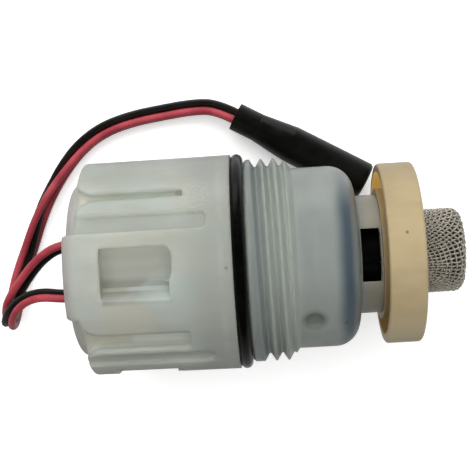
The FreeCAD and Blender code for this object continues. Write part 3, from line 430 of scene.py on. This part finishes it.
def cream_ring():
    """Cream moulding, painted golden with a glow inside its channel as painted light for the light that comes
    through, brighter on the +Y side; painted shade on its hub, a painted highlight on its edges, and painted
    light on its -Y side.
    """
    g = Graph("ring_plastic")
    fine = g.noise(500, 3.0, 0.5, stretch=(0.4, 1.0, 1.0))
    shade = g.shares(g.noise(80, 2.0), 0.7, fine)
    base = g.mix(g.ramp(shade, 0.38, 0.62), (0.318, 0.249, 0.134), (0.380, 0.304, 0.174))
    radius = g.radius()
    before_web = g.ramp_along(RING_WEB, RING_WEB + 0.3, 1.0, 0.0)
    # painted light: the channel painted golden, brighter on the +Y side
    channel = g.product(
        g.band_mm(radius, RING_HUB, RING_HUB + 1.0, RING_BORE + 0.02, RING_BORE + 0.3),
        g.ramp_mm(g.size_of(g.y), 7.0, 9.5),
        before_web,
    )
    painted_light_gold = g.mix(g.ramp_mm(g.y, -8.0, 8.0), (0.30, 0.17, 0.035), (0.72, 0.42, 0.09))
    # painted shade darkens the hub
    hub_painted_shade = g.product(g.ramp_mm(radius, RING_HUB + 0.1, RING_HUB + 0.7, 0.8, 0.0), before_web)
    # painted light: the -Y side of the outer skin painted lighter
    low = g.product(g.ramp_mm(g.y, -14.0, -4.0, 0.75, 0.0), g.ramp_mm(radius, 13.6, 14.2))
    speck = g.spot(on_skin(RING_MIDDLE, -13.0, RING_SKIN), 0.16 * MM)
    coats = [
        (g.product(channel, 0.9), painted_light_gold),
        (hub_painted_shade, (0.205, 0.145, 0.062)),
        # painted highlight along the edges
        (g.product(g.edges(0.2 * MM, 0.1), 0.4), (0.44, 0.38, 0.26)),
        (low, (0.450, 0.372, 0.235)),
        (g.product(speck, 0.8), (0.10, 0.07, 0.05)),
    ]
    ripple = g.noise(1100, 3.0, 0.5, stretch=(0.3, 1.0, 1.0))
    g.set(
        Base_Color=g.coat(base, coats),
        Roughness=g.ramp(fine, 0.3, 0.7, 0.34, 0.50),
        Subsurface_Weight=0.35,
        Subsurface_Radius=(1.0, 0.6, 0.25),
        Subsurface_Scale=1.6 * MM,
        # painted light: the channel glows, more on the +Y side
        Emission_Color=(0.62, 0.40, 0.10, 1.0),
        Emission_Strength=g.product(channel, g.ramp_mm(g.y, -8.0, 8.0, 0.10, 0.44)),
        Normal=g.bump(ripple, 0.02 * MM, 0.5, g.rounded(0.2 * MM)),
    )
    return g.material


def plain_plastic(name, dark, light, rough, glow=0.0):
    """Moulded plastic with a faint flow pattern and rounded edges."""
    g = Graph(name)
    flow = g.noise(350, 3.0, 0.55, stretch=(0.4, 1.0, 1.0))
    grain = g.noise(5000, 2.0)
    g.set(
        Base_Color=g.mix(g.ramp(flow, 0.35, 0.65), dark, light),
        Specular_IOR_Level=0.3,
        Roughness=g.ramp(flow, 0.3, 0.7, rough - 0.05, rough + 0.08),
        Subsurface_Weight=glow,
        Subsurface_Scale=0.8 * MM,
        Normal=g.bump(grain, 0.01 * MM, 0.4, g.rounded(0.08 * MM)),
    )
    return g.material


def rubber(name, dark, light, rough, pores=0.015, shine=0.5):
    """Satin rubber: fine pores, a little bloom, and dust in the finest noise."""
    g = Graph(name)
    bloom = g.noise(260, 4.0, 0.6)
    pore = g.noise(6500, 2.0, 0.5)
    dust = g.ramp(g.noise(3800, 1.0), 0.72, 0.80, 0.0, 0.03)
    base = g.mix(g.ramp(bloom, 0.40, 0.68), dark, light)
    g.set(
        Base_Color=g.mix(dust, base, (0.20, 0.19, 0.17)),
        Roughness=g.ramp(bloom, 0.3, 0.7, rough - 0.06, rough + 0.10),
        Specular_IOR_Level=shine,
        Normal=g.bump(pore, pores * MM, 0.6, g.rounded(0.1 * MM)),
    )
    return g.material


def insulation(name, dark, light, rough):
    """Extruded wire insulation, with faint lengthwise colour change and scuffs."""
    g = Graph(name)
    broad = g.noise(230, 3.0)
    scuff = g.noise(2600, 3.0, 0.6)
    base = g.mix(g.ramp(broad, 0.36, 0.64), dark, light)
    g.set(
        Base_Color=base,
        Roughness=g.ramp(scuff, 0.35, 0.7, rough, rough + 0.18),
        Specular_IOR_Level=0.4,
        Normal=g.bump(scuff, 0.01 * MM, 0.5),
    )
    return g.material


# ---------------------------------------------------------------- metals


def metal(name, dark, light, rough, stretch=(1.0, 1.0, 1.0), scale=900, grain=0.008, bright=1.0):
    """Bare or plated metal with a drawn or turned grain and slight tarnish."""
    g = Graph(name)
    tarnish = g.noise(180, 3.0, 0.6)
    lines = g.noise(scale, 3.0, 0.6, stretch=stretch)
    g.set(
        Base_Color=g.mix(g.ramp(tarnish, 0.35, 0.68), dark, light),
        Metallic=bright,
        Roughness=g.ramp(lines, 0.3, 0.7, rough - 0.06, rough + 0.12),
        Normal=g.bump(lines, grain * MM, 0.6, g.rounded(0.05 * MM)),
    )
    return g.material


def winding():
    """Enamelled wire laid side by side, as fine ridges along the coil."""
    g = Graph("enamelled_copper")
    wave = g.add("ShaderNodeTexWave", wave_type="BANDS", bands_direction="X", wave_profile="SIN")
    wave.inputs["Scale"].default_value = 1500
    g.join(g.place, wave.inputs["Vector"])
    tone = g.noise(500, 2.0)
    g.set(
        Base_Color=g.mix(g.ramp(tone, 0.35, 0.65), (0.33, 0.10, 0.03), (0.50, 0.19, 0.06)),
        Metallic=0.9,
        Roughness=0.32,
        Normal=g.bump(wave.outputs[1], 0.08 * MM, 0.8),
    )
    return g.material


def dress_nodes():
    """A finish for every CAD node that stays in the picture or behind it."""
    black_rubber = rubber("seal_rubber", (0.0010, 0.0010, 0.0009), (0.002, 0.002, 0.0018), 0.22, shine=0.15)
    connector = rubber(
        "connector_rubber", (0.0022, 0.0022, 0.0014), (0.0042, 0.0042, 0.003), 0.34, pores=0.02, shine=0.36
    )
    black = plain_plastic("black_plastic", (0.0008, 0.0008, 0.0008), (0.002, 0.002, 0.002), 0.28)
    zinc = metal("zinc_plated_steel", (0.42, 0.43, 0.44), (0.56, 0.57, 0.58), 0.34)
    turned = metal(
        "guide_steel", (0.46, 0.46, 0.46), (0.60, 0.60, 0.60), 0.28, stretch=(1.0, 0.05, 0.05), scale=3000
    )
    spring = metal("spring_steel", (0.40, 0.40, 0.40), (0.56, 0.56, 0.56), 0.26)
    brass = metal("contact_brass", (0.52, 0.38, 0.14), (0.66, 0.50, 0.22), 0.30)
    magnet = metal("magnet", (0.05, 0.05, 0.055), (0.10, 0.10, 0.105), 0.5, scale=2500, grain=0.02)
    rim = metal(
        "rim_steel",
        (0.24, 0.23, 0.20),
        (0.34, 0.33, 0.29),
        0.40,
        stretch=(1.0, 0.04, 0.04),
        scale=2200,
        bright=0.5,
    )
    white = plain_plastic("pilot_plastic", (0.60, 0.61, 0.60), (0.70, 0.71, 0.70), 0.40, glow=0.2)
    bobbin = plain_plastic("bobbin_plastic", (0.50, 0.49, 0.43), (0.60, 0.59, 0.53), 0.42, glow=0.2)
    grommet = plain_plastic("lead_grommet", (0.24, 0.245, 0.225), (0.32, 0.325, 0.30), 0.5, glow=0.1)
    blue = rubber("diaphragm_rubber", (0.012, 0.025, 0.070), (0.020, 0.040, 0.100), 0.55)
    copper = winding()
    finishes = {
        "cap": milky_cap(),
        "valve_body": milky_body(),
        "end_ring": cream_ring(),
        "first_lead_grommet": grommet,
        "second_lead_grommet": grommet,
        "flange_seal": black_rubber,
        "tube_seal": black_rubber,
        "pilot_seal": black_rubber,
        "plate_seal": black_rubber,
        "inlet_tube": black,
        "connector_insert": black,
        "strainer_rim": rim,
        "magnet_yoke": zinc,
        "pole_plate": zinc,
        "guide_tube": turned,
        "fixed_core": turned,
        "plunger": turned,
        "plunger_spring": spring,
        "bleed_pin": spring,
        "diaphragm_spring": spring,
        "coil_bobbin": bobbin,
        "opening_winding": copper,
        "closing_winding": copper,
        "coil_terminals": brass,
        "connector_contacts": brass,
        "latching_magnet": magnet,
        "pilot_plate": white,
        "diaphragm_insert": white,
        "diaphragm": blue,
        "connector_boot": connector,
        "connector_shell": connector,
    }
    for name, material in finishes.items():
        wear(name, material)


# ---------------------------------------------------------------- strainer

CUP_CORNER = 1.7  # mm, the rounding between the strainer's side and its end
STEPS_PER_PITCH = 4
WEAVE_LIFT = 0.52  # how far a wire rises and dips, in wire diameters
UNEVEN = 0.30  # how far the pressed wires stray, in pitches
UNEVEN_SCALE = 420  # how quickly that changes along a wire
UNEVEN_SEED = 4


class Cup:
    """The rounded cup that the strainer's cloth is pressed into, that far inside the strainer's outside."""

    def __init__(self, sunk):
        low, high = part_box("strainer_mesh")
        self.mouth = low.x
        self.end = high.x - sunk
        self.corner = CUP_CORNER * MM - sunk
        self.radius = (high.y - low.y) / 2 - sunk
        self.flat = self.radius - self.corner
        self.bend = math.pi / 2 * self.corner
        self.full = self.flat + self.bend + (self.end - self.corner - self.mouth)

    def point(self, arc, turn, height):
        """A point of the skin: arc from the pole, turn about the axis, height off the skin."""
        if arc < self.flat:
            along, out = self.end, arc
            normal_x, normal_out = 1.0, 0.0
        elif arc < self.flat + self.bend:
            angle = (arc - self.flat) / self.corner
            normal_x, normal_out = math.cos(angle), math.sin(angle)
            along = self.end - self.corner * (1 - normal_x)
            out = self.flat + self.corner * normal_out
        else:
            along, out = self.end - self.corner - (arc - self.flat - self.bend), self.radius
            normal_x, normal_out = 0.0, 1.0
        along = max(along + normal_x * height, self.mouth)
        out += normal_out * height
        return Vector((along, out * math.cos(turn), AXIS_Z + out * math.sin(turn)))


def cloth_wire(cup, family, number, pitch, wire, turned):
    """The points of one wire of the cloth, which weaves over and under the wires across it."""
    across = (number + 0.5) * pitch
    reach = math.sqrt(cup.full * cup.full - across * across)
    steps = max(2, int(2 * reach / (pitch / STEPS_PER_PITCH)))
    points = []
    for k in range(steps + 1):
        along = -reach + 2 * reach * k / steps
        wave = math.cos(math.pi * (along / pitch - 0.5)) * (1 if number % 2 else -1)
        u, v = (across, along) if family == 0 else (along, across)
        height = WEAVE_LIFT * wire * wave * (1 if family == 0 else -1)
        place = Vector((u * UNEVEN_SCALE, v * UNEVEN_SCALE, family * 7.0))
        shift = noise.noise_vector(place) * pitch * UNEVEN
        u, v = u + shift.x, v + shift.y
        arc = min(math.hypot(u, v), cup.full)
        points.append(cup.point(arc, math.atan2(v, u) + turned, height))
    return points


def woven_cup(name, material, pitch, wire, turned, sunk):
    """Plain-woven wire cloth pressed into a cup, as one curve with a spline for each wire."""
    cup = Cup(sunk)
    curve = bpy.data.curves.new(name, "CURVE")
    curve.dimensions = "3D"
    curve.bevel_depth = wire / 2
    curve.bevel_resolution = 1
    count = int(cup.full / pitch)
    for family in (0, 1):
        for number in range(-count, count + 1):
            if abs(number + 0.5) * pitch >= cup.full - pitch / 4:
                continue
            points = cloth_wire(cup, family, number, pitch, wire, turned)
            spline = curve.splines.new("POLY")
            spline.points.add(len(points) - 1)
            for spot, point in zip(spline.points, points):
                spot.co = (*point, 1.0)
            spline.use_smooth = True
    curve.materials.append(material)
    piece = bpy.data.objects.new(name, curve)
    bpy.context.scene.collection.objects.link(piece)
    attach(piece, HOUSING)
    return piece


def make_strainer():
    """Coarse bright cloth outside, and a finer and duller liner inside it."""
    noise.seed_set(UNEVEN_SEED)
    bright = metal("strainer_wire", (0.50, 0.46, 0.39), (0.72, 0.68, 0.60), 0.26, bright=0.6)
    dull = metal("strainer_liner_wire", (0.13, 0.115, 0.092), (0.22, 0.20, 0.165), 0.42, bright=0.6)
    cloth = woven_cup("strainer_cloth", bright, pitch=0.78 * MM, wire=0.29 * MM, turned=0.35, sunk=0.29 * MM)
    woven_cup("strainer_liner", dull, pitch=0.50 * MM, wire=0.20 * MM, turned=1.05, sunk=0.80 * MM)
    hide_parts("strainer_mesh")


# ---------------------------------------------------------------- pieces copied from CAD nodes


def moved_copy(node, name):
    """A piece with a copy of a CAD node's mesh, placed where the node is; the node is hidden."""
    source = nodes[node]
    mesh = source.data.copy()
    mesh.transform(source.matrix_world)
    piece = bpy.data.objects.new(name, mesh)
    bpy.context.scene.collection.objects.link(piece)
    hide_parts(node)
    return piece


def make_springs():
    """Each spring becomes a copy of its CAD node, attached to the housing, with a mesh of its own."""
    for node, joint, fixed_mm, keep in (
        ("plunger_spring", "plunger_slide", PLUNGER_SPRING_SEAT, 0.876),
        ("diaphragm_spring", "diaphragm_lift", DIAPHRAGM_SPRING_SEAT, 0.857),
    ):
        coil = moved_copy(node, node + "_coil")
        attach(coil, HOUSING)
        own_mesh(coil)


def make_diaphragm():
    """The diaphragm becomes a copy of its CAD node's mesh, with its placing baked into the mesh."""
    skin = moved_copy("diaphragm", "diaphragm_skin")
    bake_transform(skin)


# ---------------------------------------------------------------- leads

WIRE = 1.3 * MM
PITCH = 1.42 * MM  # between the middles of a lead's two wires

# Points of each twin lead: its middle in mm, then the heading in plan from there to the red wire, and the
# tilt of that direction, both in degrees.
FIRST_LEAD = (
    (-31.2, 4.2, 17.5, 90, 62), (-34.4, 4.1, 17.4, 102, 62), (-37.9, 2.2, 16.6, 124, 60),
    (-41.3, -1.0, 13.9, 140, 56), (-44.6, -5.1, 11.7, 148, 36), (-45.6, -7.6, 8.9, 160, 15),
    (-46.15, -7.7, 4.9, 164, 0), (-46.2, -4.9, 2.1, 164, 0), (-44.9, -0.4, 2.05, 162, 0),
    (-43.0, 4.0, 2.4, 158, 35), (-41.3, 8.8, 2.8, 156, 72), (-39.2, 13.3, 2.8, -28, 70),
    (-36.4, 17.6, 2.4, -37, 33), (-33.0, 21.6, 2.1, -48, 0), (-28.6, 24.6, 2.1, -65, 0),
    (-23.3, 26.2, 2.1, -77, 0), (-17.8, 27.0, 2.1, -83, 0), (-12.4, 27.6, 2.5, -90, 0),
    (-8.0, 27.3, 3.5, -107, 0), (-4.6, 25.3, 3.96, -120, 0),
)
SECOND_LEAD = (
    (-31.2, -4.4, 17.5, -90, 55), (-34.5, -4.2, 17.6, -88, 55), (-38.3, -3.7, 17.0, -77, 55),
    (-41.9, -4.7, 14.9, -60, 48), (-44.6, -7.0, 12.5, -40, 30), (-45.9, -9.2, 9.1, -24, 10),
    (-46.3, -9.2, 4.2, -20, 0), (-46.2, -5.8, 0.67, -16, 0), (-44.9, -0.5, 0.67, -18, 0),
    (-43.0, 4.0, 0.67, -20, 0), (-41.3, 8.8, 0.67, -22, 0), (-39.2, 13.3, 0.67, -30, 0),
    (-36.4, 17.6, 0.67, -37, 0), (-33.0, 21.6, 0.67, -48, 0), (-28.6, 24.6, 0.67, -65, 0),
    (-23.3, 26.2, 0.67, -77, 0), (-17.8, 27.0, 0.67, -83, 0), (-12.4, 27.6, 1.0, -90, 0),
    (-8.0, 27.3, 2.0, -107, 0), (-4.6, 25.3, 2.54, -120, 0),
)


def strand(lead, way):
    """The control points of a lead's red (1) or black (-1) wire, in metres."""
    middles = [Vector(row[:3]) * MM for row in lead]
    points = []
    for i, (heading, tilt) in enumerate(row[3:] for row in lead):
        turn, rise = math.radians(heading), math.radians(tilt)
        side = Vector((math.cos(rise) * math.cos(turn), math.cos(rise) * math.sin(turn), math.sin(rise)))
        if tilt:
            # square to the lead's own run
            run = (middles[min(i + 1, len(lead) - 1)] - middles[max(i - 1, 0)]).normalized()
            side = (side - run * side.dot(run)).normalized()
        points.append(middles[i] + side * way * PITCH / 2)
    return points


def make_wire(name, lead, way, material):
    """One wire of a twin lead, as a single open spline from the cap to the connector's boot."""
    points = strand(lead, way)
    curve = bpy.data.curves.new(name + "_cord", "CURVE")
    curve.dimensions = "3D"
    spline = curve.splines.new("NURBS")
    spline.points.add(len(points) - 1)
    for spot, point in zip(spline.points, points):
        spot.co = (*point, 1.0)
    spline.order_u = 3
    spline.use_endpoint_u = True
    spline.resolution_u = 12
    curve.bevel_depth = WIRE / 2
    curve.bevel_resolution = 4
    curve.materials.append(material)
    piece = bpy.data.objects.new(name + "_cord", curve)
    bpy.context.scene.collection.objects.link(piece)
    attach(piece, HOUSING)
    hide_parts(name)
    return piece


def make_leads():
    red = insulation("red_insulation", (0.282, 0.027, 0.039), (0.405, 0.050, 0.066), 0.30)
    black = insulation("black_insulation", (0.0032, 0.0026, 0.0020), (0.0072, 0.0060, 0.0048), 0.34)
    for name, lead, way, length, material, slot in (
        ("first_red_wire", FIRST_LEAD, 1, 0.0897, red, "red_insulation"),
        ("first_black_wire", FIRST_LEAD, -1, 0.0898, black, "black_insulation"),
        ("second_red_wire", SECOND_LEAD, 1, 0.0888, red, "red_insulation"),
        ("second_black_wire", SECOND_LEAD, -1, 0.0913, black, "black_insulation"),
    ):
        make_wire(name, lead, way, material)


# ---------------------------------------------------------------- studio


FLOOR_SIZE = 4.0
FLOOR_CELLS = 16
FLOOR_GAP = 0.02 * MM  # under the lowest point of the valve
SPREAD = 0.18  # how bright the world is to matt surfaces
MIRRORED_LEAST = 0.04  # and to glossy ones where nothing is mirrored

CAMERA = (0.0, 4.3, 192.65)  # mm
CAMERA_AIM = (-5.45, 4.3, 17.65)  # mm
CAMERA_ROLL = 3.22  # degrees
LENS = 81.73  # mm, on a sensor 36 mm wide


def make_floor():
    """A wide flat sheet, almost white. It glows more with distance, so that its far edge stays pale."""
    g = Graph("pale_floor")
    tone = g.noise(6, 2.0)
    reach = g.add("ShaderNodeVectorMath", operation="LENGTH")
    g.join(g.place, reach.inputs[0])
    g.set(
        Base_Color=g.mix(tone, (0.94, 0.94, 0.935), (0.96, 0.96, 0.955)),
        Roughness=0.9,
        Emission_Color=(*WHITE, 1.0),
        Emission_Strength=g.ramp(reach.outputs["Value"], 0.2, 0.8, 0.3, 1.0),
    )
    row = FLOOR_CELLS + 1
    stops = [FLOOR_SIZE * (i / FLOOR_CELLS - 0.5) for i in range(row)]
    points = [(x, y, 0.0) for y in stops for x in stops]
    corners = [j * row + i for j in range(FLOOR_CELLS) for i in range(FLOOR_CELLS)]
    faces = [(first, first + 1, first + row + 1, first + row) for first in corners]
    mesh = bpy.data.meshes.new("floor")
    mesh.from_pydata(points, [], faces)
    mesh.materials.append(g.material)
    floor = bpy.data.objects.new("floor", mesh)
    floor.location.z = cad_bounds[0].z - FLOOR_GAP
    floor.visible_diffuse = False
    floor.visible_glossy = False
    bpy.context.scene.collection.objects.link(floor)


def make_light(name, place, aim, size, watts, shine=False):
    """A soft rectangular light. Only one with shine is mirrored in glossy surfaces."""
    light = bpy.data.lights.new(name, "AREA")
    light.shape = "RECTANGLE"
    light.size, light.size_y = size
    light.energy = watts
    light.color = WHITE
    lamp = bpy.data.objects.new(name, light)
    lamp.location = place
    lamp.rotation_mode = "QUATERNION"
    lamp.rotation_quaternion = (Vector(aim) - Vector(place)).to_track_quat("-Z", "Y")
    lamp.visible_glossy = shine
    bpy.context.scene.collection.objects.link(lamp)


def make_world():
    """White to the camera, dim to matt surfaces, and to glossy ones a sheet below, bright on the lit side."""
    world = bpy.data.worlds.new("studio")
    world.use_nodes = True
    tree = world.node_tree
    back = tree.nodes["Background"]
    back.inputs["Color"].default_value = (*WHITE, 1.0)

    def computed(operation, first, second):
        node = tree.nodes.new("ShaderNodeMath")
        node.operation = operation
        for value, socket in zip((first, second), node.inputs):
            if isinstance(value, bpy.types.NodeSocket):
                tree.links.new(value, socket)
            else:
                socket.default_value = value
        return node.outputs[0]

    def ranged(value, low, high, to_low, to_high):
        node = tree.nodes.new("ShaderNodeMapRange")
        tree.links.new(value, node.inputs["Value"])
        for key, number in (("From Min", low), ("From Max", high), ("To Min", to_low), ("To Max", to_high)):
            node.inputs[key].default_value = number
        return node.outputs[0]

    path = tree.nodes.new("ShaderNodeLightPath").outputs
    direction = tree.nodes.new("ShaderNodeSeparateXYZ")
    tree.links.new(tree.nodes.new("ShaderNodeTexCoord").outputs["Generated"], direction.inputs[0])
    _, to_back, to_top = direction.outputs
    below = ranged(to_top, 0.1, -0.1, 0.0, 1.0)
    lit_side = ranged(to_back, -0.5, 0.5, 0.35, 0.85)
    sheet = computed("MULTIPLY", below, lit_side)
    mirrored = computed("MULTIPLY", path["Is Glossy Ray"], computed("ADD", sheet, MIRRORED_LEAST))
    spread = computed("MULTIPLY", computed("SUBTRACT", 1.0, path["Is Glossy Ray"]), SPREAD)
    strength = computed("MAXIMUM", computed("ADD", mirrored, spread), path["Is Camera Ray"])
    tree.links.new(strength, back.inputs["Strength"])
    bpy.context.scene.world = world


def make_studio():
    make_floor()
    make_light("key", (-0.10, 0.50, 0.13), (0, 0, 0.015), (0.60, 0.24), 0.85, shine=True)
    make_light("sky", (-0.05, 0.45, 0.50), (0, 0, 0.01), (0.80, 0.50), 3.1)
    make_light("top", (0.0, 0.0, 0.70), (0, 0, 0), (1.20, 1.20), 6.4)
    make_light("fill", (0.15, -0.45, 0.30), (0, 0, 0.01), (0.60, 0.40), 0.15)
    for name, x in (("cap_side", -0.5), ("strainer_side", 0.5)):
        make_light(name, (x, 0.0, 0.16), (0, 0, 0.017), (0.40, 0.24), 0.5)
    make_world()
    bpy.context.scene.view_settings.view_transform = "Standard"


def make_camera():
    """Almost straight above, slightly rolled, with a long lens."""
    place = Vector(CAMERA) * MM
    target = Vector(CAMERA_AIM) * MM
    roll = math.radians(CAMERA_ROLL)
    forward = (target - place).normalized()
    along = Vector((1, 0, 0))
    along = (along - forward * along.dot(forward)).normalized()
    across = (-forward).cross(along)
    right = along * math.cos(roll) - across * math.sin(roll)
    up = along * math.sin(roll) + across * math.cos(roll)
    camera = bpy.data.cameras.new("camera")
    camera.sensor_width = 36.0
    camera.lens = LENS
    camera.clip_start = 0.01
    camera.clip_end = 10.0
    eye = bpy.data.objects.new("camera", camera)
    eye.matrix_world = Matrix((right, up, -forward)).transposed().to_4x4()
    eye.location = place
    bpy.context.scene.collection.objects.link(eye)
    bpy.context.scene.camera = eye


dress_nodes()
make_springs()
make_diaphragm()
make_strainer()
make_leads()
make_studio()
make_camera()
